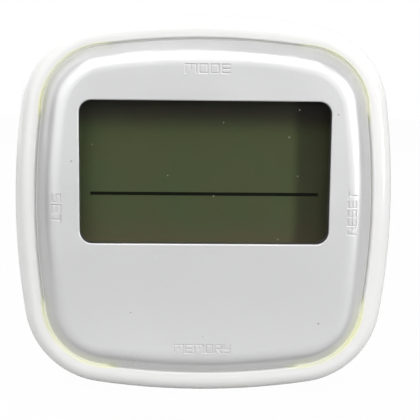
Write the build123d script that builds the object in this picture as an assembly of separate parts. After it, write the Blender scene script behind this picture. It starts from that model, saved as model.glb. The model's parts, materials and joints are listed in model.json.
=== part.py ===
from build123d import *
import math
import os

# Programmable timer: a squircle case whose raised face plate rocks four ways to work four keys.
# Everything is modelled lying on its back (x to the right, y towards the top of the face,
# z out of the face, back plane at z = 0) and is stood up at the end, face towards -Y.

# Driving dimensions, in millimetres and degrees
body_half = 40.0            # centre to the middle of each side
side_radius = 154.0         # gentle crown of each side
corner_radius = 18.3        # round of each corner
case_split = 10.0           # height of the joint between rear case and front ring
ring_top = 18.6             # front of the white ring
plate_top = 21.4            # front of the press plate
wall = 1.8                  # moulded wall and floor of the rear case
rear_round = 3.0            # round of the rear case's back edge
seam_chamfer = 0.25         # bevel on both sides of the joint

# Front ring, as distances in from the outline
ring_outer_round = 3.4
ring_inner_round = 0.35
lip_inset = 4.5             # the lip that holds the plate's flange down
lip_underside = 16.6
undercut_inset = 2.6
web_offset = 31.5           # rib from each screw boss out to the ring's wall
web_length = 6.0
web_width = 2.0

# Press plate
flange_inset = 3.7
flange_bottom = 14.2
flange_top = 15.2
plate_foot_inset = 4.8
plate_rim = 18.0            # height where the upright foot turns into a 45 degree slope
plate_skin = 1.2            # side wall of the plate
plate_roof = 1.6            # thickness of the plate's front
plate_bend = 5.0            # broad, soft bend between the slope and the front
plate_hollow_bend = 1.2

# Sunk key names
engraving_depth = 0.12
letter_height = 1.7
letter_gap = 0.42           # space between two letters, as a share of a letter's width
wide_letter = 1.4           # the M, as a share of the others' width
stroke_width = 0.3

# Window and display
window_width = 51.6
window_height = 29.5
window_round = 2.6
window_centre_y = 7.9
window_edge_round = 0.25
lens_thickness = 0.8
lens_drop = 0.35            # lens face below the plate's front
lens_margin = 1.2           # ledge the lens is glued to
lens_play = 0.1
gasket_height = 0.5
display_glass = 1.1
display_ledge = 2.1         # strip of contacts along the top and bottom of the display
display_margin = 1.1
film = 0.2                  # polariser and reflector sheets
bezel_wall = 0.9
bezel_play = 0.1            # between the bezel's wall and the glass
bezel_round = 1.2
bezel_margin = 0.3          # its opening outside the window's edge
bezel_top = 18.7
peg_x = 18.0                # pegs that hold the bezel to the board
peg_radius = 0.45
peg_hole_radius = 0.5
line_width = 0.7
line_height = 0.05
line_length = 48.0
line_drop = 4.7             # below the middle of the window

# Printed circuit board
board_bottom = 13.0
board_thickness = 1.2
board_inset = 10.4
board_ear = 32.3            # reach of the two side ears
board_ear_width = 8.0
post_radius = 1.6
post_x = 20.0
upper_post_y = 23.6         # these two posts end in plain pins
lower_post_y = -19.0        # these two take screws
post_pin_radius = 0.9
pin_hole_radius = 0.95
board_screw_hole = 1.15
zebra_width = 1.6

# Parts on the board
drop_x = -7.0               # epoxy drop over the controller
drop_y = -19.0
drop_curve = 9.0
drop_height = 1.4
crystal_x = 6.0
crystal_foot_y = -18.5
crystal_length = 5.7
crystal_radius = 1.0
crystal_lift = 1.1          # middle of the can above the board
lead_radius = 0.15
lead_offset = 0.35
lead_length = 3.0
chip_x = 10.5               # first of a row of three
chip_pitch = 2.2
chip_width = 1.25
chip_length = 2.0
capacitor_y = -15.5
capacitor_height = 0.8
resistor_y = -21.5
resistor_height = 0.5

# Rocking mechanism
pivot_height = 11.2
gimbal_outer_inset = 10.4
gimbal_width = 2.4
gimbal_thickness = 2.2
pivot_radius = 0.75
running_gap = 0.05
leg_near = 30.0             # the plate's legs and the case's posts stand just outside the gimbal
leg_far = 32.4
plate_leg_far = 34.2
leg_width = 5.0
leg_foot = 9.4
pivot_post_rise = 1.6       # case posts above the pivot
pin_end = 0.2               # pins stand this far out of the ring and the legs

# Keys
key_reach_vertical = 27.9   # centre to the top and bottom switches
key_reach_sideways = 30.3   # centre to the left and right switches
switch_size = 3.2
switch_height = 1.8
stem_radius = 0.8
stem_bottom = 15.0
stem_gap = 0.06             # stem to the underside of the plate at rest
guide_floor = 0.2
small_bevel = 0.2

# Battery bay, a single AAA cell lying across the case
cell_radius = 5.1
cell_length = 43.3
nub_radius = 1.9
nub_length = 1.2
cell_y = 15.0
cell_height = 7.5
bay_half_length = 24.4
bay_half_height = 5.6
bay_wall = 0.8
bay_wall_top = 9.5
tab_offset = 0.5            # bay end to the inner face of its contact tab
tab_thickness = 0.4
tab_width = 8.0
tail_length = 2.0
contact_play = 0.05
cell_round = 0.5
coil_turns = 3.0
coil_length = 2.5
coil_radius = 1.9
coil_taper = -15.0
coil_wire = 0.22
wire_radius = 0.45          # flexible wires with their jackets
door_thickness = 1.6
door_gap = 0.25
door_pin_radius = 0.5
door_pin_length = 1.0
door_pin_play = 0.06
door_hinge_play = 0.15
tongue_half_width = 5.5     # springy tongue between two slits
tongue_length = 4.0
tongue_slit = 0.5
grip_count = 4
grip_pitch = 0.8
grip_width = 8.0
grip_groove = 0.35
grip_depth = 0.3
scoop_width = 9.0
scoop_height = 1.8
scoop_depth = 0.9

# Fold-out stand
stand_width = 26.0
stand_length = 30.0
stand_thickness = 2.2
stand_hinge_y = -3.0
stand_hinge_height = 1.35
stand_gap = 0.4
stand_slot = 14.0           # opening through the stand
stand_slot_length = 15.0
stand_slot_round = 3.0
stand_slot_drop = 13.0      # its middle below the hinge
notch_width = 10.0          # room for a fingertip at the foot of the stand
notch_length = 6.0
notch_depth = 1.6
tray_depth = 2.8
tray_wall = 1.2
stand_pin_radius = 0.75

# Screws, magnets, buzzer and hanging slot
boss_offset = 29.3
boss_radius = 3.0
ring_boss_radius = 2.6
screw_radius = 1.0
thread_grip = 0.02          # pilot holes are this much wider than the screw
screw_head_radius = 1.9
screw_head_height = 1.2
screw_head_round = 0.5
screw_head_seat = 3.0
recess_length = 2.0         # cross recess
recess_width = 0.45
recess_depth = 0.7
ring_boss_top = 12.8
magnet_radius = 4.0
magnet_thickness = 1.4
magnet_x = 27.0
magnet_y = -18.5
magnet_wall = 1.0
magnet_roof = 1.2
buzzer_x = 22.0
buzzer_y = -3.0
buzzer_radius = 6.3
seat_wall = 0.6
seat_overlap = 1.0          # ledge under the disc's rim
seat_rise = 1.6
disc_thickness = 0.2
ceramic_inset = 2.5
sound_holes = 6
sound_hole_circle = 3.2
sound_hole_radius = 0.6
keyhole_y = 29.0
keyhole_radius = 3.5
keyhole_slot_radius = 1.75
keyhole_slot_rise = 5.0

# Worked out from the above
side_centre = body_half - side_radius
corner_reach = side_radius - corner_radius
corner_centre = (side_centre + math.sqrt(2 * corner_reach**2 - side_centre**2)) / 2
board_top = board_bottom + board_thickness
plate_underside = plate_top - plate_roof
plate_shoulder_inset = plate_foot_inset + plate_top - plate_rim
mitre = math.tan(math.radians(22.5))
lens_top = plate_top - lens_drop
display_width = window_width + 2 * display_margin
rear_glass_height = window_height + 2 * display_margin - 1.6
front_glass_height = rear_glass_height + 2 * display_ledge
front_glass_bottom = board_top + 2.0
front_glass_top = front_glass_bottom + display_glass
bezel_width = display_width + 2 * (bezel_wall + bezel_play)
bezel_height = front_glass_height + 2 * (bezel_wall + bezel_play)
peg_rise = (bezel_height - bezel_wall) / 2
gimbal_inner_inset = gimbal_outer_inset + gimbal_width
gimbal_middle = body_half - gimbal_outer_inset - gimbal_width / 2
leg_middle = (leg_near + leg_far) / 2
through = 1.0               # how far a cutter runs past the surface it opens
quarter_turns = [(1, 1), (-1, 1), (-1, -1), (1, -1)]
sides = [-1, 1]


def squircle(inset, height=0.0):
    """Face of the case's outline, moved in by inset: four crowned sides and four round corners."""
    reach = side_radius - inset
    tangent = Vector(corner_centre, corner_centre - side_centre) * (1 / corner_reach)
    side_end = Vector(0, side_centre) + tangent * reach
    corner_end = Vector(side_end.Y, side_end.X)
    corner_middle = corner_centre + (corner_radius - inset) / math.sqrt(2)
    side = ThreePointArc((-side_end.X, side_end.Y), (0, body_half - inset), side_end)
    corner = ThreePointArc(side_end, (corner_middle, corner_middle), corner_end)
    edges = []
    for turn in range(4):
        edges.append(Rot(0, 0, 90 * turn) * side)
        edges.append(Rot(0, 0, 90 * turn) * corner)
    return Pos(0, 0, height) * Face(Wire(edges))


def prism(inset, bottom, top):
    """Straight squircle block between two heights."""
    return extrude(squircle(inset, bottom), amount=top - bottom, dir=(0, 0, 1))


def cone(inset_bottom, bottom, inset_top, top):
    """Squircle block that narrows from one height to the other."""
    return loft([squircle(inset_bottom, bottom), squircle(inset_top, top)], ruled=True)


def block(x, y, width, height, bottom, top):
    """Box centred on x, y between two heights."""
    return Pos(x, y, (bottom + top) / 2) * Box(width, height, top - bottom)


def rounded(x, y, width, height, radius, bottom, top):
    """Box with rounded upright edges."""
    return extrude(Pos(x, y, bottom) * RectangleRounded(width, height, radius), amount=top - bottom)


def rod(x, y, radius, bottom, top):
    """Upright cylinder."""
    return Pos(x, y, (bottom + top) / 2) * Cylinder(radius, top - bottom)


def rod_along_x(x0, x1, y, z, radius):
    """Cylinder along x."""
    return Pos((x0 + x1) / 2, y, z) * Rot(0, 90, 0) * Cylinder(radius, x1 - x0)


def rod_along_y(x, y0, y1, z, radius):
    """Cylinder along y."""
    return Pos(x, (y0 + y1) / 2, z) * Rot(90, 0, 0) * Cylinder(radius, y1 - y0)


def edges_at(shape, height):
    """Edges that lie flat at one height."""
    return shape.edges().filter_by_position(Axis.Z, height - 0.01, height + 0.01)


def wire_along(points, radius):
    """Round wire through a few points."""
    path = Spline(*points)
    section = Plane(path @ 0, z_dir=path % 0) * Circle(radius)
    return sweep(section, path=path)


# Each letter is a few strokes on a grid two wide and two high, drawn corner to corner.
strokes = {
    "D": [[(0, 0), (0, 2), (2, 2), (2, 0), (0, 0)]],
    "E": [[(2, 2), (0, 2), (0, 0), (2, 0)], [(0, 1), (2, 1)]],
    "M": [[(0, 0), (0, 2), (2, 2), (2, 0)], [(1, 2), (1, 1)]],
    "O": [[(0, 0), (0, 2), (2, 2), (2, 0), (0, 0)]],
    "R": [[(0, 0), (0, 2), (2, 2), (2, 1), (0, 1)], [(1, 1), (2, 0)]],
    "S": [[(2, 2), (0, 2), (0, 1), (2, 1), (2, 0), (0, 0)]],
    "T": [[(0, 2), (2, 2)], [(1, 2), (1, 0)]],
    "Y": [[(0, 2), (0, 1), (2, 1)], [(2, 2), (2, 0), (0, 0)]],
}


def word(text, length):
    """Flat block lettering of a given length, centred on the origin and reading along x."""
    shares = [wide_letter if letter == "M" else 1.0 for letter in text]
    unit = (length - stroke_width) / (sum(shares) + letter_gap * (len(text) - 1))
    left = (stroke_width - length) / 2
    face = Sketch()
    for letter, share in zip(text, shares):
        for line in strokes[letter]:
            corners = [(left + u * unit * share / 2, (v - 1) * letter_height / 2) for u, v in line]
            for a, b in zip(corners, corners[1:]):
                middle = ((a[0] + b[0]) / 2, (a[1] + b[1]) / 2)
                reach = math.dist(a, b) + stroke_width
                angle = math.degrees(math.atan2(b[1] - a[1], b[0] - a[0]))
                face += Pos(*middle) * Rot(0, 0, angle) * Rectangle(reach, stroke_width)
        left += unit * (share + letter_gap)
    return face


def engravings():
    """The four key names as cutters that reach one even depth into the plate, round its edge as well."""
    core = plate_body(engraving_depth, engraving_depth, plate_bend)
    cutters = []
    for text, length, x, y, turn in [
        ("MODE", 9.3, 0.3, 29.1, 0),
        ("MEMORY", 12.1, -0.3, -29.3, 0),
        ("SET", 6.2, -30.5, 0.3, -90),
        ("RESET", 9.1, 30.6, -0.3, 90),
    ]:
        flat = Pos(x, y, plate_top - plate_roof) * Rot(0, 0, turn) * word(text, length)
        cutters += [letter - core for letter in extrude(flat, amount=plate_roof + through).solids()]
    return cutters


def distance_in(point):
    """How far a point lies inside the case's outline."""
    u, v = sorted((abs(point.X), abs(point.Y)))
    if u * (corner_centre - side_centre) > corner_centre * (v - side_centre):
        return corner_radius - math.hypot(u - corner_centre, v - corner_centre)
    return side_radius - math.hypot(u, v - side_centre)


def outline_edges(shape, height, inset):
    """Edges of one squircle outline at one height."""
    level = edges_at(shape, height)
    return [edge for edge in level if abs(distance_in(edge @ 0.5) - inset) < 0.05]


def front_ring():
    """White ring: rounded bead outside, a lip that traps the plate's flange, four screw bosses."""
    ring = prism(0, case_split, ring_top) - prism(lip_inset, case_split, ring_top)
    ring = fillet(outline_edges(ring, ring_top, 0), ring_outer_round)
    ring = fillet(outline_edges(ring, ring_top, lip_inset), ring_inner_round)
    ring = chamfer(outline_edges(ring, case_split, 0), seam_chamfer)
    ring -= prism(undercut_inset, case_split, lip_underside)
    reach = prism(undercut_inset - 0.6, case_split, ring_boss_top)
    for u, v in quarter_turns:
        x = u * boss_offset
        y = v * boss_offset
        boss = rod(x, y, ring_boss_radius, case_split, ring_boss_top)
        rib = block(0, 0, web_length, web_width, case_split, ring_boss_top)
        web = Pos(u * web_offset, v * web_offset, 0) * Rot(0, 0, 45 * u * v) * rib
        ring += (boss + web) & reach
        ring -= rod(x, y, screw_radius + thread_grip, case_split, ring_boss_top - 0.5)
    return ring


def plate_body(skin, roof, bend):
    """Foot, slope and bend of the press plate, drawn in by skin at the sides and by roof at the front."""
    foot = plate_foot_inset + skin
    rim = plate_rim - mitre * skin
    shoulder = plate_shoulder_inset - roof + (1 + mitre) * skin
    top = plate_top - roof
    body = prism(foot, flange_bottom, rim) + cone(foot, rim, shoulder, top)
    return fillet(outline_edges(body, top, shoulder), bend)


def press_plate():
    """Raised face plate: a shallow shell with a trapped flange, a window and two pivot legs."""
    hollow = plate_body(plate_skin, plate_roof, plate_hollow_bend)
    plate = plate_body(0, 0, plate_bend) + prism(flange_inset, flange_bottom, flange_top) - hollow
    inside = plate_body(plate_skin / 2, plate_skin / 2, plate_bend)
    inside += prism(plate_foot_inset, leg_foot, flange_top)
    for side in sides:
        y = side * (leg_near + plate_leg_far) / 2
        leg = block(0, y, leg_width, plate_leg_far - leg_near, leg_foot, plate_top)
        plate += leg & inside
        plate -= rod_along_y(0, y - leg_width, y + leg_width, pivot_height, pivot_radius + running_gap)
    plate -= over_window(0, plate_underside - through, plate_top + through)
    plate -= over_window(lens_margin, plate_underside - through, lens_top)
    sill = [e for e in edges_at(plate, plate_top) if within_window(e @ 0.5)]
    plate = fillet(sill, window_edge_round)
    for cutter in engravings():
        plate -= cutter
    return plate


def over_window(margin, bottom, top):
    """Block of the window's shape, wider than it by a margin all round."""
    width = window_width + 2 * margin
    height = window_height + 2 * margin
    return rounded(0, window_centre_y, width, height, window_round + margin, bottom, top)


def within_window(point):
    """True for a point on the window's rim or inside it."""
    across = abs(point.X) < window_width / 2 + 0.01
    return across and abs(point.Y - window_centre_y) < window_height / 2 + 0.01


def window_lens():
    """Clear pane glued into the rebate behind the window."""
    return over_window(lens_margin - lens_play, lens_top - lens_thickness, lens_top)


def window_gasket():
    """Dark foam frame behind the lens that closes the gap to the display bezel."""
    top = lens_top - lens_thickness
    outer = over_window(lens_margin - 2 * lens_play, top - gasket_height, top)
    return outer - over_window(0, top - gasket_height, top)


def over_display(width, height, bottom, top):
    """Flat sheet of the display."""
    return block(0, window_centre_y, width, height, bottom, top)


def lcd_rear_glass():
    """Rear sheet of the display, short enough to leave a contact ledge at the top and bottom."""
    bottom = front_glass_bottom - display_glass
    return over_display(display_width, rear_glass_height, bottom, front_glass_bottom)


def lcd_front_glass():
    """Front sheet of the display."""
    return over_display(display_width, front_glass_height, front_glass_bottom, front_glass_top)


def lcd_polariser():
    """Film on the front glass."""
    width = display_width - 2 * film
    height = front_glass_height - 2 * film
    return over_display(width, height, front_glass_top, front_glass_top + film)


def lcd_reflector():
    """Film on the back of the rear glass."""
    bottom = front_glass_bottom - display_glass
    return over_display(display_width - 2 * film, rear_glass_height - 2 * film, bottom - film, bottom)


def divider_line():
    """Printed black line that parts the display into two zones."""
    bottom = front_glass_top + film
    return block(0, window_centre_y - line_drop, line_length, line_width, bottom, bottom + line_height)


def lcd_bezel():
    """Dark frame that holds the display over the board and forms the walls of the recess."""
    inner_width = bezel_width - 2 * bezel_wall
    inner_height = bezel_height - 2 * bezel_wall
    bezel = rounded(0, window_centre_y, bezel_width, bezel_height, bezel_round, board_top, bezel_top)
    bezel -= over_display(inner_width, inner_height, board_top, front_glass_top + film)
    bezel -= over_window(bezel_margin, board_top, bezel_top)
    for u, v in quarter_turns:
        bezel += rod(u * peg_x, window_centre_y + v * peg_rise, peg_radius, board_bottom, board_top)
    return bezel


def zebra_strips():
    """Two rubber connectors between the board and the display's contact ledges."""
    strips = []
    for side in sides:
        y = window_centre_y + side * (rear_glass_height + display_ledge) / 2
        strips.append(block(0, y, display_width - 2.0, zebra_width, board_top, front_glass_bottom))
    return strips


def main_board():
    """Circuit board with two side ears for the left and right switches."""
    board = prism(board_inset, board_bottom, board_top)
    board += block(0, 0, 2 * board_ear, board_ear_width, board_bottom, board_top)
    for u, v in quarter_turns:
        board -= rod(u * peg_x, window_centre_y + v * peg_rise, peg_hole_radius, board_bottom, board_top)
    for side in sides:
        board -= rod(side * post_x, upper_post_y, pin_hole_radius, board_bottom, board_top)
        board -= rod(side * post_x, lower_post_y, board_screw_hole, board_bottom, board_top)
    return board


def board_screws():
    """Two pan-head screws through the lower corners of the board."""
    screws = []
    for side in sides:
        shank = rod(side * post_x, lower_post_y, screw_radius, board_bottom - 5, board_top)
        screws.append(shank + pan_head(side * post_x, lower_post_y, board_top, 1))
    return screws


def pan_head(x, y, seat, way):
    """Round screw head with a cross recess, rising from its seat (way 1) or hanging below it (way -1)."""
    head = rod(0, 0, screw_head_radius, 0, screw_head_height)
    head = fillet(edges_at(head, screw_head_height), screw_head_round)
    slot_bottom = screw_head_height - recess_depth
    for turn in (0, 90):
        slot = block(0, 0, recess_length, recess_width, slot_bottom, screw_head_height + 0.1)
        head -= Rot(0, 0, turn) * slot
    if way < 0:
        head = Rot(180, 0, 0) * head
    return Pos(x, y, seat) * head


def chip_cover():
    """Epoxy drop over the controller chip."""
    foot = drop_curve - drop_height
    drop = Sphere(drop_curve) & block(0, 0, 2 * drop_curve, 2 * drop_curve, foot, drop_curve)
    return Pos(drop_x, drop_y, board_top - foot) * drop


def crystal():
    """Clock crystal: a small metal can lying on the board with two leads."""
    height = board_top + crystal_lift
    can = rod_along_y(crystal_x, crystal_foot_y, crystal_foot_y + crystal_length, height, crystal_radius)
    can = fillet(can.edges(), crystal_radius / 4)
    end = crystal_foot_y - lead_length
    for side in sides:
        x = crystal_x + side * lead_offset
        can += rod_along_y(x, end, crystal_foot_y + lead_radius, height, lead_radius)
        can += rod(x, end, lead_radius, board_top, height + lead_radius)
    return can


def chip_row(y, height):
    """Three small flat parts side by side on the board."""
    chips = []
    for index in range(3):
        x = chip_x + chip_pitch * index
        chips.append(block(x, y, chip_width, chip_length, board_top, board_top + height))
    return chips


def chip_capacitors():
    """Small ceramic capacitors."""
    return chip_row(capacitor_y, capacitor_height)


def chip_resistors():
    """Small film resistors."""
    return chip_row(resistor_y, resistor_height)


def key_places():
    """Name and centre of each of the four keys."""
    return {
        "mode": (0, key_reach_vertical),
        "memory": (0, -key_reach_vertical),
        "set": (-key_reach_sideways, 0),
        "reset": (key_reach_sideways, 0),
    }


def switch_housings():
    """Four small switch bodies, each with a blind guide for its stem."""
    housings = []
    for x, y in key_places().values():
        top = board_top + switch_height
        housing = block(x, y, switch_size, switch_size, board_top, top)
        housing = chamfer(edges_at(housing, top), small_bevel)
        housing -= rod(x, y, stem_radius + running_gap, board_top + guide_floor, top)
        housings.append(housing)
    return housings


def switch_stem(place):
    """Plunger that carries the plate's push down into the switch."""
    x, y = place
    top = plate_underside - stem_gap
    stem = rod(x, y, stem_radius, stem_bottom, top)
    return chamfer(edges_at(stem, stem_bottom), small_bevel)


def gimbal_ring():
    """Square ring between case and plate: it rocks on the case, and the plate rocks on it."""
    bottom = pivot_height - gimbal_thickness / 2
    top = pivot_height + gimbal_thickness / 2
    ring = prism(gimbal_outer_inset, bottom, top) - prism(gimbal_inner_inset, bottom, top)
    hole_radius = pivot_radius + 0.01
    for side in sides:
        near = side * gimbal_middle - gimbal_width
        far = side * gimbal_middle + gimbal_width
        ring -= rod_along_x(near, far, 0, pivot_height, hole_radius)
        ring -= rod_along_y(0, near, far, pivot_height, hole_radius)
    return ring


def pivot_pins():
    """Four steel pins pressed into the gimbal ring, two for each way of rocking."""
    pins = []
    near = body_half - gimbal_inner_inset + pin_end
    far = leg_far + pin_end
    for side in sides:
        ends = sorted((side * near, side * far))
        pins.append(rod_along_x(ends[0], ends[1], 0, pivot_height, pivot_radius))
        pins.append(rod_along_y(0, ends[0], ends[1], pivot_height, pivot_radius))
    return pins


def battery_bay():
    """Outer block and inner space of the bay for the cell."""
    width = 2 * bay_half_length
    height = 2 * bay_half_height
    outer = block(0, cell_y, width + 2 * bay_wall, height + 2 * bay_wall, 0.5, bay_wall_top)
    inner = block(0, cell_y, width, height, wall, bay_wall_top)
    return outer, inner


def door_opening():
    """Width and height of the opening in the case's floor for the battery door."""
    width = 2 * bay_half_length - 2 * bay_wall
    height = 2 * bay_half_height - 1.0
    return width, height


def door_hinge_y():
    """Height up the back of the battery door's hinge line."""
    width, height = door_opening()
    return cell_y - height / 2 + door_thickness / 2 + door_hinge_play


def rear_case():
    """Rear tub: floor, wall, battery bay, stand tray, posts, pivots, buzzer seat and hanging slot."""
    case = prism(0, 0, case_split)
    case = fillet(outline_edges(case, 0, 0), rear_round)
    case = chamfer(outline_edges(case, case_split, 0), seam_chamfer)
    case -= prism(wall, wall, case_split)
    bay_outer, bay_inner = battery_bay()
    case += bay_outer
    case -= bay_inner
    case = add_stand_tray(case)
    case = add_bosses(case)
    case = cut_door_opening(case)
    case = add_pivot_posts(case)
    case = add_buzzer_seat(case)
    case -= rod(0, keyhole_y, keyhole_radius, -through, wall + through)
    slot_y = keyhole_y + keyhole_slot_rise / 2
    slot_height = keyhole_slot_rise + 2 * keyhole_slot_radius
    slot_end = keyhole_slot_radius - 0.01
    case -= rounded(0, slot_y, 2 * keyhole_slot_radius, slot_height, slot_end, -through, wall + through)
    pocket_top = magnet_thickness + 0.2
    for side in sides:
        x = side * magnet_x
        case += rod(x, magnet_y, magnet_radius + magnet_wall, wall / 2, pocket_top + magnet_roof)
        case -= rod(x, magnet_y, magnet_radius + thread_grip, -through, pocket_top)
    return case


def add_pivot_posts(case):
    """Two posts that carry the gimbal ring's outer pins."""
    thickness = leg_far - leg_near
    for side in sides:
        x = side * leg_middle
        case += block(x, 0, thickness, leg_width, wall / 2, pivot_height + pivot_post_rise)
        case -= rod_along_x(x - thickness, x + thickness, 0, pivot_height, pivot_radius + running_gap)
    return case


def add_buzzer_seat(case):
    """Round seat for the buzzer's disc, over a circle of sound holes."""
    top = wall + seat_rise
    seat = rod(buzzer_x, buzzer_y, buzzer_radius + seat_wall, wall / 2, top)
    case += seat - rod(buzzer_x, buzzer_y, buzzer_radius - seat_overlap, wall, top)
    for hole in range(sound_holes):
        angle = 2 * math.pi * hole / sound_holes
        x = buzzer_x + sound_hole_circle * math.cos(angle)
        y = buzzer_y + sound_hole_circle * math.sin(angle)
        case -= rod(x, y, sound_hole_radius, -through, wall + through)
    return case


def add_stand_tray(case):
    """Sunken tray that the folded stand lies in."""
    width = stand_width + 2 * stand_gap
    top_y = stand_hinge_y + stand_hinge_height + stand_gap
    length = stand_length + stand_hinge_height + 2 * stand_gap
    y = top_y - length / 2
    case += block(0, y, width + 2 * tray_wall, length + 2 * tray_wall, wall / 2, tray_depth + tray_wall)
    case -= block(0, y, width, length, -through, tray_depth)
    case -= block(0, top_y - length, notch_width, notch_length, -through, notch_depth)
    reach = width / 2 + 2.0
    case -= rod_along_x(-reach, reach, stand_hinge_y, stand_hinge_height, stand_pin_radius + thread_grip)
    return case


def add_bosses(case):
    """Four case-screw bosses and four posts for the circuit board."""
    for u, v in quarter_turns:
        x = u * boss_offset
        y = v * boss_offset
        case += rod(x, y, boss_radius, wall / 2, case_split)
        case -= rod(x, y, screw_radius + 0.15, -through, case_split)
        case -= rod(x, y, screw_head_radius + 0.2, -through, screw_head_seat)
    for side in sides:
        x = side * post_x
        case += rod(x, lower_post_y, post_radius, wall / 2, board_bottom)
        case -= rod(x, lower_post_y, screw_radius + thread_grip, board_bottom - 5.5, board_bottom)
        case += rod(x, upper_post_y, post_radius, wall / 2, board_bottom)
        case += rod(x, upper_post_y, post_pin_radius, board_bottom - 1, board_top)
    return case


def cut_door_opening(case):
    """Battery door's opening, with a socket at each end of its hinge edge and a fingernail scoop."""
    width, height = door_opening()
    case -= block(0, cell_y, width, height, -through, wall)
    reach = width / 2 + door_pin_length
    case -= rod_along_x(-reach, reach, door_hinge_y(), door_thickness / 2, door_pin_radius + door_pin_play)
    scoop_y = cell_y + (height + scoop_height) / 2 - 0.3
    case -= block(0, scoop_y, scoop_width, scoop_height, -through, scoop_depth)
    return case


def case_screws():
    """Four screws that pull the front ring onto the rear case."""
    screws = []
    for u, v in quarter_turns:
        x = u * boss_offset
        y = v * boss_offset
        shank = rod(x, y, screw_radius, screw_head_seat, ring_boss_top - 0.8)
        screws.append(shank + pan_head(x, y, screw_head_seat, -1))
    return screws


def battery_door():
    """Flush door with a rounded hinge edge, two pins, a springy tongue and grip ribs."""
    opening_width, opening_height = door_opening()
    width = opening_width - 2 * door_gap
    half = door_thickness / 2
    hinge_y = door_hinge_y()
    far_y = cell_y + opening_height / 2 - door_gap
    door = block(0, (hinge_y + far_y) / 2, width, far_y - hinge_y, 0, door_thickness)
    door += rod_along_x(-width / 2, width / 2, hinge_y, half, half - 0.1)
    reach = width / 2 + door_pin_length
    door += rod_along_x(-reach, reach, hinge_y, half, door_pin_radius)
    slit_y = far_y - tongue_length / 2
    for side in sides:
        x = side * tongue_half_width
        door -= block(x, slit_y, tongue_slit, tongue_length, -through, door_thickness + through)
    for groove in range(grip_count):
        y = far_y - 1.0 - grip_pitch * groove
        door -= block(0, y, grip_width, grip_groove, -through, grip_depth)
    return door


def battery_cell():
    """AAA cell: steel can with rounded ends and a positive nub."""
    tip = bay_half_length - tab_offset - contact_play
    right = tip - nub_length
    can = rod_along_x(right - cell_length, right, cell_y, cell_height, cell_radius)
    can = fillet(can.edges().filter_by(GeomType.CIRCLE), cell_round)
    return can + rod_along_x(right - cell_round, tip, cell_y, cell_height, nub_radius)


def contact_spring():
    """Tapered coil that presses on the cell's flat end."""
    coil = Helix(
        pitch=coil_length / coil_turns, height=coil_length, radius=coil_radius, cone_angle=coil_taper
    )
    section = Plane(coil @ 0, z_dir=coil % 0) * Circle(coil_wire)
    spring = sweep(section, path=coil)
    x = -bay_half_length + tab_offset + coil_wire + contact_play
    return Pos(x, cell_y, cell_height) * Rot(0, 90, 0) * spring


def contact_tabs():
    """Two nickel plates at the ends of the bay, each with a tail for its wire."""
    tabs = []
    top = bay_wall_top + 0.6
    for side in sides:
        x = side * (bay_half_length - tab_offset + tab_thickness / 2)
        plate = block(x, cell_y, tab_thickness, tab_width, wall + tab_thickness, top)
        tail_x = x + side * (tail_length - tab_thickness) / 2
        tail = block(tail_x, cell_y, tail_length, tail_length, top - tab_thickness, top)
        tabs.append(plate + tail)
    return tabs


def battery_wires():
    """Wires from the two contact tails up to the board."""
    start_z = bay_wall_top + 1.1
    wires = []
    for side in sides:
        x = side * (bay_half_length + 0.9)
        points = [
            (x, cell_y, start_z),
            (x, cell_y - 3, start_z + 0.1),
            (x - side, cell_y - 7, start_z + 0.9),
            (x - side, cell_y - 8, board_bottom - 0.3),
        ]
        wires.append(wire_along(points, wire_radius))
    return wires


def piezo_disc():
    """Brass disc of the buzzer, glued over its seat."""
    bottom = wall + seat_rise
    return rod(buzzer_x, buzzer_y, buzzer_radius, bottom, bottom + disc_thickness)


def piezo_ceramic():
    """White ceramic layer on the disc."""
    bottom = wall + seat_rise + disc_thickness
    return rod(buzzer_x, buzzer_y, buzzer_radius - ceramic_inset, bottom, bottom + disc_thickness)


def piezo_wires():
    """Two wires from the buzzer up to the board."""
    wires = []
    start_z = wall + seat_rise + 2 * disc_thickness + wire_radius
    for side in sides:
        x = buzzer_x - 3.5 + side * 1.2
        points = [
            (x + 1, buzzer_y, start_z),
            (x - 1, buzzer_y - 1, start_z + 1.0),
            (x - 3, buzzer_y - 2, 9.0),
            (x - 3.5, buzzer_y - 2, board_bottom - 0.1),
        ]
        wires.append(wire_along(points, wire_radius))
    return wires


def fold_out_stand():
    """Flap with a rounded hinge edge, an opening in the middle and a finger notch at its foot."""
    half = stand_thickness / 2
    foot_y = stand_hinge_y - stand_length
    stand = rounded(
        0, (stand_hinge_y + foot_y) / 2, stand_width, stand_length, 0.6,
        stand_hinge_height - half, stand_hinge_height + half,
    )
    stand += rod_along_x(-stand_width / 2, stand_width / 2, stand_hinge_y, stand_hinge_height, half)
    slot_y = stand_hinge_y - stand_slot_drop
    stand -= rounded(
        0, slot_y, stand_slot, stand_slot_length, stand_slot_round, -through, tray_depth + through
    )
    stand -= rod_along_x(
        -stand_width, stand_width, stand_hinge_y, stand_hinge_height, stand_pin_radius + running_gap
    )
    return stand


def stand_pin():
    """Steel pin the stand swings on, held in the tray's side walls."""
    reach = stand_width / 2 + stand_gap + 1.0
    return rod_along_x(-reach, reach, stand_hinge_y, stand_hinge_height, stand_pin_radius)


def back_magnets():
    """Two disc magnets set flush into the back."""
    bottom = 0.1
    top = bottom + magnet_thickness
    return [rod(side * magnet_x, magnet_y, magnet_radius, bottom, top) for side in sides]


def save(name, shape):
    """Stand the piece up, face towards -Y, and write it as its own file."""
    solids = ShapeList()
    for piece in shape if isinstance(shape, list) else [shape]:
        solids += piece.solids()
    upright = [Rot(90, 0, 0) * solid for solid in solids]
    whole = upright[0] if len(upright) == 1 else Compound(upright)
    whole.label = name
    export_step(whole, f"parts/{name}.step")


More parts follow.
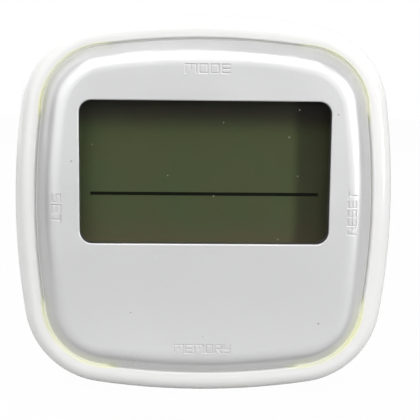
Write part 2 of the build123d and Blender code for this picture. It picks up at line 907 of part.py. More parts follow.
def main():
    os.makedirs("parts", exist_ok=True)
    for build in [
        front_ring, press_plate, window_lens, window_gasket, lcd_polariser, lcd_front_glass, lcd_rear_glass,
        lcd_reflector, divider_line, lcd_bezel, zebra_strips, main_board, board_screws, chip_cover, crystal,
        chip_capacitors, chip_resistors, switch_housings, gimbal_ring, pivot_pins, rear_case, case_screws,
        battery_door, battery_cell, contact_spring, contact_tabs, battery_wires, piezo_disc, piezo_ceramic,
        piezo_wires, fold_out_stand, stand_pin, back_magnets,
    ]:
        save(build.__name__, build())
    for key, place in key_places().items():
        save(f"{key}_stem", switch_stem(place))


main()
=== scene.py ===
import bmesh
import bpy
import json
import math
from mathutils import Matrix, Vector


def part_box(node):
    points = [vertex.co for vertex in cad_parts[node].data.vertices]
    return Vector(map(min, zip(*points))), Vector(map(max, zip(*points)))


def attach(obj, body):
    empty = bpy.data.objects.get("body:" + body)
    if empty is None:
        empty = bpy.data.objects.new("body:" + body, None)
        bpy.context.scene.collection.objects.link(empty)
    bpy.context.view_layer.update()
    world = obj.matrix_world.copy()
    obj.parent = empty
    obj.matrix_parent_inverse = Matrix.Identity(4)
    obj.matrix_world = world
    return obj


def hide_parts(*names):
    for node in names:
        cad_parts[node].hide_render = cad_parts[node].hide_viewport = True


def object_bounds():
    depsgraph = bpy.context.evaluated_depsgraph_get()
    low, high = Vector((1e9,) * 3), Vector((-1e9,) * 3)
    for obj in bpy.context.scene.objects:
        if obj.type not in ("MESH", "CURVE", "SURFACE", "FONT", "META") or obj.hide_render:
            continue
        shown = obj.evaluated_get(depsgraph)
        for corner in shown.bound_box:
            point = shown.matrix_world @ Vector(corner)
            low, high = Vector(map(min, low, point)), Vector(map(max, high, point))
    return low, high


# Looks for the timer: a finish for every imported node, a foam gasket and rubber connectors in place of
# the plain solids, a pale floor, soft studio light and the camera. Metres throughout.
# The face looks towards -Y and the body stands on its lower edge, with +Z up.

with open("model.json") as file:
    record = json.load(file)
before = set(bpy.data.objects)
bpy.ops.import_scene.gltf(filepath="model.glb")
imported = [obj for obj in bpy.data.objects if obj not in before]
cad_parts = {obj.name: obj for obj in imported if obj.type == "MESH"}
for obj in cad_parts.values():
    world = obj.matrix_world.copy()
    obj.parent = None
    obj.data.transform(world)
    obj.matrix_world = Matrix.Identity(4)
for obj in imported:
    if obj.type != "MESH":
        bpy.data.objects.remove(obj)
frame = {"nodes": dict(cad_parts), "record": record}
cad_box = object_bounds()
nodes = frame["nodes"]

MM = 0.001

# Outline of the case: four crowned sides and four round corners
BODY_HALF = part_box("front_ring")[1].x
SIDE_RADIUS = 154.0 * MM
CORNER_RADIUS = 18.3 * MM
SIDE_CENTRE = BODY_HALF - SIDE_RADIUS
CORNER_REACH = SIDE_RADIUS - CORNER_RADIUS
CORNER_CENTRE = (SIDE_CENTRE + math.sqrt(2 * CORNER_REACH**2 - SIDE_CENTRE**2)) / 2

# Groove between the ring's lip and the face: where it starts, and how bright the painted light in it is
GROOVE_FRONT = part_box("front_ring")[0].y + 0.1 * MM
GROOVE_PAINTED_LIGHT = 0.26


# Node helpers

def new_material(name):
    """Empty material with only an output node."""
    material = bpy.data.materials.new(name)
    material.use_nodes = True
    tree = material.node_tree
    tree.nodes.clear()
    add(tree, "OutputMaterial")
    return material, tree


def add(tree, kind, **values):
    """New shader node, with input sockets set by name (underscores for spaces)."""
    made = tree.nodes.new("ShaderNode" + kind)
    for key, value in values.items():
        socket = made.inputs[key.replace("_", " ")]
        if isinstance(value, bpy.types.NodeSocket):
            tree.links.new(value, socket)
        else:
            socket.default_value = value
    return made


def calc(tree, operation, *values):
    """Math node on numbers or sockets."""
    made = tree.nodes.new("ShaderNodeMath")
    made.operation = operation
    for socket, value in zip(made.inputs, values):
        if isinstance(value, bpy.types.NodeSocket):
            tree.links.new(value, socket)
        else:
            socket.default_value = value
    return made.outputs[0]


def times(tree, first, second):
    """Product of two numbers or sockets."""
    return calc(tree, "MULTIPLY", first, second)


def remap(tree, value, low, high, out_low=0.0, out_high=1.0):
    """Smooth step from one range to another, clamped."""
    made = add(
        tree, "MapRange", Value=value, From_Min=low, From_Max=high, To_Min=out_low, To_Max=out_high
    )
    made.interpolation_type = "SMOOTHSTEP"
    return made.outputs["Result"]


def blend_colours(tree, share, first, second, mode="MIX"):
    """Mix of two colours by a share."""
    made = tree.nodes.new("ShaderNodeMix")
    made.data_type = "RGBA"
    made.blend_type = mode
    made.clamp_factor = True
    for index, value in ((0, share), (6, first), (7, second)):
        socket = made.inputs[index]
        if isinstance(value, bpy.types.NodeSocket):
            tree.links.new(value, socket)
        elif index == 0:
            socket.default_value = value
        else:
            socket.default_value = (*value, 1.0)
    return made.outputs[2]


def blend_shaders(tree, share, first, second):
    """Mix of two shader nodes by a share."""
    made = add(tree, "MixShader", Fac=share)
    tree.links.new(first.outputs[0], made.inputs[1])
    tree.links.new(second.outputs[0], made.inputs[2])
    return made


def place(tree):
    """Position on the piece, which stays with it as it moves."""
    return add(tree, "TexCoord").outputs["Object"]


def axis(tree, letter):
    """One coordinate of the position on the piece."""
    return add(tree, "SeparateXYZ", Vector=place(tree)).outputs[letter]


def noise(tree, scale, detail=4.0, roughness=0.55, distortion=0.0):
    """Noise about 0.5, mostly between 0.3 and 0.7, with features of 1/scale metres."""
    made = add(
        tree, "TexNoise", Vector=place(tree), Scale=scale, Detail=detail, Roughness=roughness,
        Distortion=distortion,
    )
    return made.outputs["Fac"]


def specks(tree, scale, size, seed=0.0):
    """Scattered round specks: 1 on a speck and 0 elsewhere. Only a few cells hold one."""
    empty_share = 0.93
    core = 0.4
    shifted = add(tree, "Mapping", Vector=place(tree), Location=(seed, seed, seed)).outputs["Vector"]
    cells = add(tree, "TexVoronoi", Vector=shifted, Scale=scale, Randomness=1.0)
    near = remap(tree, cells.outputs["Distance"], size, size * core)
    chosen = add(tree, "SeparateColor", Color=cells.outputs["Color"]).outputs["Red"]
    return times(tree, near, calc(tree, "GREATER_THAN", chosen, empty_share))


def scratches(tree, scale, thickness):
    """Sparse fine hairlines in two directions, in patches."""
    directions = (0.5, 2.1)
    stretch = 0.06
    total = None
    for turn in directions:
        turned = add(
            tree, "Mapping", Vector=place(tree), Rotation=(0.0, turn, 0.0),
            Scale=(scale, scale, scale * stretch),
        ).outputs["Vector"]
        field = add(tree, "TexNoise", Vector=turned, Scale=1.0, Detail=1.0).outputs["Fac"]
        off_line = calc(tree, "ABSOLUTE", calc(tree, "SUBTRACT", field, 0.5))
        line = remap(tree, off_line, thickness, 0.0)
        total = line if total is None else calc(tree, "MAXIMUM", total, line)
    patches = remap(tree, noise(tree, 60.0, detail=1.0), 0.60, 0.72)
    return times(tree, total, patches)


def outline_distance(tree):
    """How far a point lies inside the case's outline, in metres."""
    across = calc(tree, "ABSOLUTE", axis(tree, "X"))
    along = calc(tree, "ABSOLUTE", axis(tree, "Z"))
    less = calc(tree, "MINIMUM", across, along)
    more = calc(tree, "MAXIMUM", across, along)

    def arc(radius, centre_less, centre_more):
        a = calc(tree, "POWER", calc(tree, "SUBTRACT", less, centre_less), 2.0)
        b = calc(tree, "POWER", calc(tree, "SUBTRACT", more, centre_more), 2.0)
        return calc(tree, "SUBTRACT", radius, calc(tree, "SQRT", calc(tree, "ADD", a, b)))

    side = arc(SIDE_RADIUS, 0.0, SIDE_CENTRE)
    corner = arc(CORNER_RADIUS, CORNER_CENTRE, CORNER_CENTRE)
    return calc(tree, "MINIMUM", side, corner)


def edge_mask(tree, radius):
    """1 along sharp edges, within radius of them, and the rounded normal."""
    cosine_off_edge = 0.998
    cosine_on_edge = 0.92
    bevel = tree.nodes.new("ShaderNodeBevel")
    bevel.samples = 6
    bevel.inputs["Radius"].default_value = radius
    plain = tree.nodes.new("ShaderNodeNewGeometry").outputs["Normal"]
    dot = tree.nodes.new("ShaderNodeVectorMath")
    dot.operation = "DOT_PRODUCT"
    tree.links.new(bevel.outputs["Normal"], dot.inputs[0])
    tree.links.new(plain, dot.inputs[1])
    on_edge = remap(tree, dot.outputs["Value"], cosine_off_edge, cosine_on_edge)
    return on_edge, bevel.outputs["Normal"]


def bump(tree, height, depth, normal=None):
    """Normal bent by a height field whose full range is depth metres."""
    made = add(tree, "Bump", Height=height, Distance=depth, Strength=1.0)
    if normal is not None:
        tree.links.new(normal, made.inputs["Normal"])
    return made.outputs["Normal"]


def show(tree, shader):
    """Join a shader node to the material's output."""
    tree.links.new(shader.outputs[0], tree.nodes["Material Output"].inputs["Surface"])


def surface(tree, **values):
    """Principled surface joined to the output."""
    show(tree, add(tree, "BsdfPrincipled", **values))


def shade(colour, factor):
    """Colour made lighter or darker."""
    return tuple(min(1.0, part * factor) for part in colour)


# Materials

def moulded(
    name, colour, roughness, grain_scale=9000.0, grain_depth=0.004 * MM, variation=0.05,
    edge_radius=0.12 * MM, dirt=0.25, specular=0.5,
):
    """Moulded, painted or plated part: slow colour drift, grain, smudged gloss and rubbed edges."""
    material, tree = new_material(name)
    rubbed, rounded_normal = edge_mask(tree, edge_radius)
    drift = noise(tree, 90.0, detail=3.0)
    body = blend_colours(tree, drift, shade(colour, 1 - variation), shade(colour, 1 + variation))
    fleck = noise(tree, grain_scale * 0.35, detail=2.0)
    body = blend_colours(tree, remap(tree, fleck, 0.35, 0.75, 0.0, dirt), body, shade(colour, 0.8))
    worn = times(tree, rubbed, noise(tree, 700.0, detail=2.0))
    body = blend_colours(tree, worn, body, shade(colour, 1.25))
    smudge = noise(tree, 150.0, detail=5.0)
    gloss = remap(tree, smudge, 0.3, 0.7, roughness * 0.85, min(1.0, roughness * 1.2))
    grain = noise(tree, grain_scale, detail=3.0, roughness=0.6)
    surface(
        tree, Base_Color=body, Roughness=gloss, Specular_IOR_Level=specular,
        Normal=bump(tree, grain, grain_depth, rounded_normal),
    )
    return material


def painted_groove_light(tree, start, end, fade):
    """Painted light: emission that brightens the groove round the face in place of the light that falls into
    it. It grows from start to end, both measured in from the outline, and over the fade's depth behind the
    groove's front."""
    sunk = remap(tree, axis(tree, "Y"), GROOVE_FRONT, GROOVE_FRONT + fade)
    near = remap(tree, outline_distance(tree), start, end)
    return times(tree, times(tree, sunk, near), GROOVE_PAINTED_LIGHT)


def white_case_finish():
    """Glossy white moulding: faint flow marks, fine hairlines, a yellowed inner lip and painted light in the
    groove.
    """
    white = (0.725, 0.725, 0.715), (0.765, 0.765, 0.76)
    yellowed = (0.76, 0.78, 0.46)
    dust = (0.45, 0.44, 0.40)
    material, tree = new_material("white_case")
    lip = remap(tree, outline_distance(tree), 3.7 * MM, 4.45 * MM)
    patchy = remap(tree, noise(tree, 130.0, detail=2.0), 0.3, 0.7, 0.45, 1.0)
    body = blend_colours(tree, noise(tree, 45.0, detail=2.0), *white)
    body = blend_colours(tree, times(tree, lip, patchy), body, yellowed)
    body = blend_colours(tree, specks(tree, scale=420.0, size=0.09, seed=3.0), body, dust)
    lines = scratches(tree, scale=2600.0, thickness=0.006)
    gloss = remap(tree, noise(tree, 110.0), 0.3, 0.7, 0.16, 0.24)
    gloss = calc(tree, "ADD", gloss, times(tree, lines, 0.2))
    ripple = calc(tree, "ADD", noise(tree, 260.0, detail=2.0), times(tree, lines, -0.25))
    surface(
        tree, Base_Color=body, Roughness=gloss, IOR=1.5, Normal=bump(tree, ripple, 0.006 * MM),
        Subsurface_Weight=0.12, Subsurface_Radius=(1.0, 0.9, 0.7), Subsurface_Scale=0.8 * MM,
        # Painted light: emission that brightens the ring's side of the groove.
        Emission_Color=(0.97, 0.97, 0.92, 1.0),
        Emission_Strength=painted_groove_light(tree, start=4.2 * MM, end=4.5 * MM, fade=0.5 * MM),
    )
    return material


def silver_face_finish():
    """Silver-grey lacquer, more metallic and darkened by painted shade where it slopes away, with fine flake,
    soft smudges, hairlines, edges lightened partly by wear and partly as painted highlight, a few dust specks
    and painted light on the foot in the groove."""
    grey = (0.665, 0.667, 0.667), (0.70, 0.702, 0.702)
    flake_colour = (0.76, 0.76, 0.77)
    dark_dust = (0.36, 0.34, 0.30)
    pale_dust = (0.85, 0.85, 0.85)
    wear_and_highlight_colour = (0.88, 0.88, 0.87)
    slope_shade_colour = (0.52, 0.52, 0.52)
    normal_on_flat = -0.97
    normal_on_slope = -0.74
    material, tree = new_material("silver_face")
    body = blend_colours(tree, noise(tree, 35.0, detail=3.0), *grey)
    flake = noise(tree, 9000.0, detail=2.0, roughness=0.7)
    body = blend_colours(tree, remap(tree, flake, 0.3, 0.7, 0.0, 0.35), body, flake_colour)
    body = blend_colours(tree, specks(tree, scale=330.0, size=0.10), body, dark_dust)
    body = blend_colours(tree, specks(tree, scale=400.0, size=0.08, seed=7.0), body, pale_dust)
    smudge = noise(tree, 55.0, detail=5.0, roughness=0.6, distortion=0.6)
    lines = scratches(tree, scale=3200.0, thickness=0.008)
    gloss = calc(tree, "SUBTRACT", remap(tree, smudge, 0.35, 0.7, 0.30, 0.40), times(tree, lines, 0.12))
    grain = calc(tree, "ADD", flake, times(tree, lines, -0.6))
    rubbed, rounded_normal = edge_mask(tree, 0.11 * MM)
    # Rubbed edges and engraved strokes made lighter: partly wear, partly painted highlight.
    body = blend_colours(tree, times(tree, rubbed, 0.45), body, wear_and_highlight_colour)
    # Painted shade: the colour darkens where the face slopes away from the front; the same tilt raises the
    # metallic share.
    normal = add(tree, "TexCoord").outputs["Normal"]
    facing = add(tree, "SeparateXYZ", Vector=normal).outputs["Y"]
    tilted = remap(tree, facing, normal_on_flat, normal_on_slope)
    body = blend_colours(tree, times(tree, tilted, 0.4), body, slope_shade_colour)
    metal = remap(tree, tilted, 0.0, 1.0, 0.22, 0.52)
    surface(
        tree, Base_Color=body, Roughness=gloss, Metallic=metal, IOR=1.5,
        Coat_Weight=0.5, Coat_Roughness=0.12, Normal=bump(tree, grain, 0.0025 * MM, rounded_normal),
        # Painted light: emission that brightens the face's foot in the groove.
        Emission_Color=(1.0, 1.0, 0.97, 1.0),
        Emission_Strength=painted_groove_light(tree, start=5.3 * MM, end=4.9 * MM, fade=0.8 * MM),
    )
    return material


def clear_window_finish():
    """Clear acrylic pane: see-through, with a faint mirror, light smears and a trace of dust. On the way
    out of the pane the index is turned round, so that light leaves it at any angle."""
    acrylic = 1.49
    material, tree = new_material("clear_window")
    smear = remap(tree, noise(tree, 70.0, detail=5.0, roughness=0.65, distortion=1.2), 0.45, 0.75, 0.01, 0.04)
    mirror = add(tree, "BsdfGlossy", Color=(1, 1, 1, 1), Roughness=smear)
    through = add(tree, "BsdfTransparent", Color=(0.95, 0.96, 0.95, 1))
    inside = tree.nodes.new("ShaderNodeNewGeometry").outputs["Backfacing"]
    index = remap(tree, inside, 0.0, 1.0, acrylic, 1 / acrylic)
    pane = blend_shaders(tree, add(tree, "Fresnel", IOR=index).outputs["Fac"], through, mirror)
    dust = add(tree, "BsdfDiffuse", Color=(0.55, 0.55, 0.50, 1))
    dusty = times(tree, specks(tree, scale=520.0, size=0.10, seed=2.0), 0.7)
    show(tree, blend_shaders(tree, dusty, pane, dust))
    return material


def display_finish():
    """Blank display under its film: olive, with painted light that makes it warmer and brighter towards the
    lower edge, painted shade along the top and a painted shadow over the right end.
    """
    olive = (0.080, 0.102, 0.048), (0.090, 0.099, 0.048)
    lower_light_colour = (0.120, 0.102, 0.062)
    dim = (0.048, 0.042, 0.032)
    shadow = (0.66, 0.60, 0.64)
    dust = (0.28, 0.30, 0.22)
    material, tree = new_material("display_film")
    low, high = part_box("lcd_polariser")
    height = axis(tree, "Z")
    # Painted light: warmer and brighter towards the lower edge.
    lower = remap(tree, height, low.z + 9 * MM, low.z)
    # Painted shade: darker along the top, where the window's upper edge shades the film.
    upper = remap(tree, height, high.z - 10 * MM, high.z - 4 * MM)
    # Painted shadow: darker over the right end, where the window's right edge shades the film.
    right_end = remap(tree, axis(tree, "X"), high.x - 9.0 * MM, high.x - 6.5 * MM)
    cloud = remap(tree, noise(tree, 110.0, detail=3.0), 0.3, 0.7)
    body = blend_colours(tree, cloud, *olive)
    body = blend_colours(tree, times(tree, lower, 0.8), body, lower_light_colour)
    body = blend_colours(tree, times(tree, upper, 0.9), body, dim)
    body = blend_colours(tree, right_end, body, shadow, mode="MULTIPLY")
    body = blend_colours(tree, specks(tree, scale=300.0, size=0.07, seed=5.0), body, dust)
    grain = noise(tree, 14000.0, detail=2.0)
    surface(
        tree, Base_Color=body, Roughness=0.3, Specular_IOR_Level=0.15, IOR=1.45,
        Normal=bump(tree, grain, 0.0015 * MM),
    )
    return material


def glass_finish():
    """Display glass seen at its edges: pale green and see-through."""
    material, tree = new_material("display_glass")
    tint = blend_colours(tree, noise(tree, 200.0), (0.70, 0.84, 0.76), (0.80, 0.90, 0.84))
    surface(tree, Base_Color=tint, Roughness=0.05, IOR=1.52, Transmission_Weight=0.9)
    return material


def board_finish():
    """Green solder mask with paler copper tracks and tinned dots."""
    green = (0.010, 0.075, 0.030), (0.014, 0.095, 0.036)
    copper_under_mask = (0.030, 0.170, 0.060)
    tin = (0.62, 0.60, 0.54)
    material, tree = new_material("green_board")
    cells = add(tree, "TexVoronoi", Vector=place(tree), Scale=300.0, Randomness=0.75)
    cells.distance = "MANHATTAN"
    cells.feature = "F1"
    edges = add(tree, "TexVoronoi", Vector=place(tree), Scale=260.0, Randomness=0.35)
    edges.feature = "DISTANCE_TO_EDGE"
    track = remap(tree, edges.outputs["Distance"], 0.06, 0.03)
    dots = remap(tree, cells.outputs["Distance"], 0.16, 0.10)
    body = blend_colours(tree, noise(tree, 120.0), *green)
    body = blend_colours(tree, track, body, copper_under_mask)
    body = blend_colours(tree, dots, body, tin)
    relief = calc(tree, "ADD", times(tree, track, 0.6), noise(tree, 5000.0, detail=2.0))
    surface(
        tree, Base_Color=body, Roughness=0.32, Metallic=times(tree, dots, 0.9),
        Normal=bump(tree, relief, 0.02 * MM),
    )
    return material


def cell_finish():
    """Battery sleeve: dark wrap with a coppery band at the positive end and bare steel ends."""
    wrap_colour = (0.025, 0.027, 0.032)
    copper = (0.52, 0.25, 0.11)
    steel_colour = (0.62, 0.61, 0.58)
    band_length = 12.2 * MM
    positive_end = 1.9 * MM
    negative_end = 0.6 * MM
    blur = 0.2 * MM
    material, tree = new_material("cell_jacket")
    low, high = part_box("battery_cell")
    along = axis(tree, "X")
    band = remap(tree, along, high.x - band_length, high.x - band_length + blur)
    tip = remap(tree, along, high.x - positive_end, high.x - positive_end + blur)
    base = remap(tree, along, low.x + negative_end, low.x + negative_end - blur)
    steel = calc(tree, "MAXIMUM", tip, base)
    body = blend_colours(tree, band, wrap_colour, copper)
    body = blend_colours(tree, steel, body, steel_colour)
    wrap = noise(tree, 600.0, detail=3.0)
    surface(
        tree, Base_Color=body, Roughness=remap(tree, wrap, 0.3, 0.7, 0.22, 0.34),
        Metallic=calc(tree, "MAXIMUM", steel, times(tree, band, 0.7)), Coat_Weight=0.4,
        Normal=bump(tree, wrap, 0.008 * MM),
    )
    return material


def foam_finish():
    """Closed-cell black foam."""
    material, tree = new_material("black_foam")
    cells = add(tree, "TexVoronoi", Vector=place(tree), Scale=4200.0)
    body = blend_colours(tree, cells.outputs["Distance"], (0.006, 0.006, 0.006), (0.030, 0.030, 0.029))
    surface(tree, Base_Color=body, Roughness=0.92, Normal=bump(tree, cells.outputs["Distance"], 0.06 * MM))
    return material


def zebra_finish():
    """Rubber connector: fine dark carbon layers in pale silicone."""
    material, tree = new_material("grey_rubber")
    layers = add(tree, "TexWave", Vector=place(tree), Scale=2600.0, Distortion=0.3)
    layers.bands_direction = "X"
    body = blend_colours(tree, layers.outputs["Fac"], (0.03, 0.03, 0.03), (0.46, 0.46, 0.47))
    surface(tree, Base_Color=body, Roughness=0.6, Normal=bump(tree, layers.outputs["Fac"], 0.015 * MM))
    return material


def brushed(name, colour, roughness, streak=(400.0, 400.0, 9000.0)):
    """Bare or plated metal with fine drawn streaks, dull patches and bright edges."""
    material, tree = new_material(name)
    rubbed, rounded_normal = edge_mask(tree, 0.08 * MM)
    drawn = add(tree, "Mapping", Vector=place(tree), Scale=streak).outputs["Vector"]
    streaks = add(tree, "TexNoise", Vector=drawn, Scale=1.0, Detail=3.0).outputs["Fac"]
    dull = remap(tree, noise(tree, 260.0), 0.4, 0.7)
    body = blend_colours(tree, dull, colour, shade(colour, 0.82))
    body = blend_colours(tree, rubbed, body, shade(colour, 1.15))
    gloss = calc(tree, "ADD", roughness, times(tree, dull, 0.14))
    surface(
        tree, Base_Color=body, Roughness=gloss, Metallic=1.0,
        Normal=bump(tree, streaks, 0.003 * MM, rounded_normal),
    )
    return material


def finishes():
    """Material for each of the record's slots."""
    return {
        "white_case": white_case_finish(),
        "silver_face": silver_face_finish(),
        "clear_window": clear_window_finish(),
        "display_film": display_finish(),
        "display_glass": glass_finish(),
        "green_board": board_finish(),
        "cell_jacket": cell_finish(),
        "black_foam": foam_finish(),
        "grey_rubber": zebra_finish(),
        "white_back": moulded(
            "white_back", (0.78, 0.78, 0.77), 0.46, grain_scale=5200.0, grain_depth=0.016 * MM,
            variation=0.02, dirt=0.12,
        ),
        "dark_frame": moulded(
            "dark_frame", (0.075, 0.070, 0.074), 0.5, grain_scale=7000.0, grain_depth=0.008 * MM,
            variation=0.08,
        ),
        "display_back": moulded("display_back", (0.10, 0.12, 0.07), 0.5),
        "black_print": moulded(
            "black_print", (0.006, 0.008, 0.004), 0.35, grain_scale=12000.0, grain_depth=0.002 * MM,
            variation=0.2, edge_radius=0.02 * MM, specular=0.02,
        ),
        "black_epoxy": moulded(
            "black_epoxy", (0.012, 0.012, 0.013), 0.16, grain_scale=900.0, grain_depth=0.015 * MM,
            variation=0.2,
        ),
        "tan_ceramic": moulded("tan_ceramic", (0.36, 0.24, 0.14), 0.45),
        "black_ceramic": moulded("black_ceramic", (0.02, 0.02, 0.02), 0.4),
        "black_plastic": moulded("black_plastic", (0.022, 0.022, 0.022), 0.42),
        "stem_plastic": moulded("stem_plastic", (0.60, 0.59, 0.54), 0.35),
        "grey_plastic": moulded("grey_plastic", (0.30, 0.30, 0.31), 0.42),
        "wire_jacket": moulded("wire_jacket", (0.42, 0.02, 0.015), 0.38),
        "white_ceramic": moulded("white_ceramic", (0.74, 0.73, 0.69), 0.5),
        "screw_steel": brushed("screw_steel", (0.62, 0.62, 0.60), 0.28),
        "tinned_metal": brushed("tinned_metal", (0.70, 0.69, 0.66), 0.25),
        "pin_steel": brushed("pin_steel", (0.64, 0.64, 0.63), 0.2, streak=(6000.0, 400.0, 400.0)),
        "spring_steel": brushed("spring_steel", (0.66, 0.66, 0.63), 0.22),
        "brass_disc": brushed("brass_disc", (0.70, 0.50, 0.20), 0.3),
        "magnet_nickel": brushed("magnet_nickel", (0.66, 0.65, 0.62), 0.18, streak=(900.0, 900.0, 900.0)),
    }


def dress_nodes(made):
    """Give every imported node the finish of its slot."""
    for part in frame["record"]["subparts"]:
        piece = nodes[part["node"]]
        piece.data.materials.clear()
        piece.data.materials.append(made[part["material_slot"]])


# Pieces that stand for soft solids

def link(name, mesh_builder, material):
    """Turn a bmesh into a named, smooth-shaded object."""
    mesh = bpy.data.meshes.new(name)
    mesh_builder.to_mesh(mesh)
    mesh_builder.free()
    piece = bpy.data.objects.new(name, mesh)
    bpy.context.scene.collection.objects.link(piece)
    mesh.materials.append(material)
    for polygon in mesh.polygons:
        polygon.use_smooth = True
    return piece


def rounded_path(half_width, half_height, radius, corner_steps, side_steps):
    """Points round a rectangle with round corners, counter-clockwise, with their outward directions."""
    path = []
    for turn in range(4):
        facing = turn * math.pi / 2
        u = 1 if turn in (0, 3) else -1
        v = 1 if turn in (0, 1) else -1
        centre = Vector((u * (half_width - radius), v * (half_height - radius)))
        for step in range(corner_steps + 1):
            angle = facing + math.pi / 2 * step / corner_steps
            outward = Vector((math.cos(angle), math.sin(angle)))
            path.append((centre + outward * radius, outward))
        end, outward = path[-1]
        u, v = -v, u
        next_centre = Vector((u * (half_width - radius), v * (half_height - radius)))
        start = next_centre + outward * radius
        for step in range(1, side_steps):
            path.append((end.lerp(start, step / side_steps), outward))
    return path


def squarish(steps, power, first=0.0):
    """Points round a unit square with soft corners: the lower the power, the squarer."""
    points = []
    for step in range(steps):
        angle = 2 * math.pi * (step + first) / steps
        across, up = math.cos(angle), math.sin(angle)
        points.append((math.copysign(abs(across) ** power, across), math.copysign(abs(up) ** power, up)))
    return points


def skin(builder, rings):
    """Four-sided faces between each ring of points and the next."""
    for ring, following in zip(rings, rings[1:]):
        steps = len(ring)
        for step in range(steps):
            after = (step + 1) % steps
            builder.faces.new((ring[step], following[step], following[after], ring[after]))


def soft_piece(name, builder, material, stands_for, body):
    """Close off a soft piece that stands for a CAD node and rides a body."""
    bmesh.ops.recalc_face_normals(builder, faces=builder.faces)
    piece = link(name, builder, material)
    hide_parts(stands_for)
    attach(piece, body)


def foam_gasket(material):
    """Foam frame squeezed between pane and display bezel, with softly wavy bulging sides. Its opening is a
    little narrower than the pane that it holds."""
    under_pane = 1.1 * MM
    bulge = 0.10 * MM
    ripple_share = 0.4
    face_clearance = 0.02 * MM
    corner_radius = 3.1 * MM
    low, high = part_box("window_gasket")
    lens_low, lens_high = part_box("window_lens")
    centre = (low + high) / 2
    half = (high - low) / 2
    width = half.x - ((lens_high.x - lens_low.x) / 2 - under_pane)
    section = squarish(12, power=0.5)
    path = rounded_path(
        half.x - width / 2, half.z - width / 2, corner_radius, corner_steps=10, side_steps=24
    )
    builder = bmesh.new()
    rings = []
    for index, (point, outward) in enumerate(path):
        ripple = bulge * ripple_share * math.sin(index * 1.7) * math.sin(index * 0.61)
        ring = []
        for across, up in section:
            spot = point + outward * (across * (width / 2 - bulge + ripple))
            depth = up * (half.y - face_clearance)
            ring.append(builder.verts.new((centre.x + spot.x, centre.y + depth, centre.z + spot.y)))
        rings.append(ring)
    skin(builder, rings + rings[:1])
    soft_piece("foam_gasket", builder, material, "window_gasket", "face")


def zebra_connectors(material):
    """Two squeezed rubber strips between board and display: their long sides bulge a little."""
    thickness = 1.6 * MM
    bulge = 0.12 * MM
    wave_share = 0.25
    columns = 72
    low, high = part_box("zebra_strips")
    middle = (low + high) / 2
    offset = (high.z - low.z - thickness) / 2
    depth = (high.y - low.y) / 2
    section = squarish(16, power=0.35, first=0.5)
    builder = bmesh.new()
    for side in (-1, 1):
        rings = []
        for column in range(columns + 1):
            x = low.x + (high.x - low.x) * (column / columns)
            wave = wave_share * math.sin(column * 2.3) * math.sin(column * 0.7)
            ring = []
            for across, up in section:
                swell = bulge * (wave - 1.0 + math.sqrt(max(0.0, 1.0 - up * up)))
                z = middle.z + side * offset + across * (thickness / 2 + min(swell, 0.0))
                ring.append(builder.verts.new((x, middle.y + up * depth, z)))
            rings.append(ring)
        skin(builder, rings)
        builder.faces.new(rings[0])
        builder.faces.new(reversed(rings[-1]))
    soft_piece("zebra_connectors", builder, material, "zebra_strips", "case")


# Stage, light and camera

def add_floor():
    """Plain pale floor under the lower edge. It glows white to the camera, so that it runs into the
    backdrop. To the object its colour carries painted shade: dark towards the camera's side, where the room
    is unlit."""
    reach = 3.0
    height = cad_box[0].z - 0.1 * MM
    darkest, palest = 0.03, 0.42
    camera_glow = 0.98
    builder = bmesh.new()
    corners = [(-reach, -reach), (reach, -reach), (reach, reach), (-reach, reach)]
    builder.faces.new([builder.verts.new((x, y, height)) for x, y in corners])
    material, tree = new_material("floor")
    # Painted shade: the floor's colour darkens towards the camera's side.
    lit = remap(tree, axis(tree, "Y"), -90.0 * MM, -10.0 * MM)
    patchy = remap(tree, noise(tree, 3.0, detail=2.0), 0.2, 0.8, 0.95, 1.05)
    paleness = times(tree, remap(tree, lit, 0.0, 1.0, darkest, palest), patchy)
    grey = add(tree, "CombineColor", Red=paleness, Green=paleness, Blue=paleness).outputs["Color"]
    matte = add(tree, "BsdfDiffuse", Color=grey)
    glow = add(tree, "Emission", Color=(1, 1, 1, 1), Strength=1.0)
    from_camera = add(tree, "LightPath").outputs["Is Camera Ray"]
    show(tree, blend_shaders(tree, times(tree, from_camera, camera_glow), matte, glow))
    link("floor", builder, material)


def direction(azimuth, elevation):
    """Unit vector from the object towards a viewer at these angles in degrees."""
    a, e = math.radians(azimuth), math.radians(elevation)
    return Vector((math.sin(a) * math.cos(e), -math.cos(a) * math.cos(e), math.sin(e)))


def add_panel(name, azimuth, elevation, distance, width, height, radiance):
    """Soft light panel facing the object, as bright as radiance."""
    light = bpy.data.lights.new(name, "AREA")
    light.shape = "RECTANGLE"
    light.size = width
    light.size_y = height
    light.energy = radiance * math.pi * width * height
    lamp = bpy.data.objects.new(name, light)
    towards = direction(azimuth, elevation)
    lamp.location = towards * distance
    lamp.rotation_mode = "QUATERNION"
    lamp.rotation_quaternion = (-towards).to_track_quat("-Z", "Y")
    lamp.visible_camera = False
    bpy.context.scene.collection.objects.link(lamp)


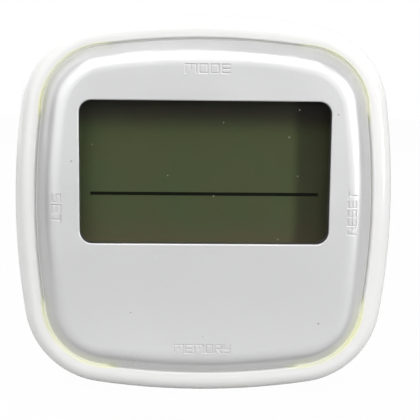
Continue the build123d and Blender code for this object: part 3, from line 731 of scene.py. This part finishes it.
def add_world():
    """White backdrop to the camera. To the object, a room that is bright behind it, brighter above and on
    the left, and dim in front, where the camera stands."""
    world = bpy.data.worlds.new("studio")
    bpy.context.scene.world = world
    world.use_nodes = True
    tree = world.node_tree
    tree.nodes.clear()
    way = add(tree, "SeparateXYZ", Vector=add(tree, "TexCoord").outputs["Generated"])
    behind = remap(tree, way.outputs["Y"], -0.35, 0.25, out_low=0.06, out_high=0.60)
    raised = remap(tree, way.outputs["Z"], -0.7, 0.6, out_low=0.55, out_high=1.1)
    leftwards = remap(tree, way.outputs["X"], 0.1, -0.9, out_low=1.0, out_high=2.4)
    strength = times(tree, times(tree, behind, raised), leftwards)
    room = add(tree, "Background", Color=(1, 1, 1, 1), Strength=strength)
    plain = add(tree, "Background", Color=(1, 1, 1, 1), Strength=1.0)
    whole = blend_shaders(tree, add(tree, "LightPath").outputs["Is Camera Ray"], room, plain)
    tree.links.new(whole.outputs[0], add(tree, "OutputWorld").inputs["Surface"])


def add_lights():
    """Overhead softbox, bright strip and dim panel on the right, panel on the left, fill for the back."""
    add_panel("overhead", azimuth=-6, elevation=54, distance=0.60, width=0.56, height=0.30, radiance=5.6)
    add_panel("right_strip", azimuth=57, elevation=12, distance=0.65, width=0.09, height=0.40, radiance=20.0)
    add_panel("right_panel", azimuth=31, elevation=8, distance=0.70, width=0.42, height=0.70, radiance=1.4)
    add_panel("left_panel", azimuth=-38, elevation=8, distance=0.70, width=0.56, height=0.70, radiance=2.0)
    add_panel("back_fill", azimuth=205, elevation=28, distance=0.90, width=0.80, height=0.60, radiance=2.4)


def add_camera():
    """Camera a little above the middle of the face, close enough for clear perspective, slightly rolled."""
    target = Vector((0.0, -10.0 * MM, 0.0))
    distance = 180.0 * MM
    azimuth = -1.41
    elevation = 7.21
    roll = 0.56
    towards = direction(azimuth, elevation)
    data = bpy.data.cameras.new("camera")
    data.sensor_width = 36.0
    data.lens = 70.05
    data.shift_x = 0.0155
    data.shift_y = -0.0131
    data.clip_start = 0.01
    data.clip_end = 50.0
    camera = bpy.data.objects.new("camera", data)
    rolled = Matrix.Rotation(math.radians(roll), 4, "Z")
    aim = (-towards).to_track_quat("-Z", "Y").to_matrix().to_4x4() @ rolled
    camera.matrix_world = Matrix.Translation(target + towards * distance) @ aim
    bpy.context.scene.collection.objects.link(camera)
    bpy.context.scene.camera = camera


def set_display():
    """Plain colour handling, so that white stays white."""
    settings = bpy.context.scene.view_settings
    settings.view_transform = "Standard"
    settings.look = "None"
    settings.exposure = 0.0
    settings.gamma = 1.0


made = finishes()
dress_nodes(made)
foam_gasket(made["black_foam"])
zebra_connectors(made["grey_rubber"])
add_floor()
add_world()
add_lights()
add_camera()
set_display()
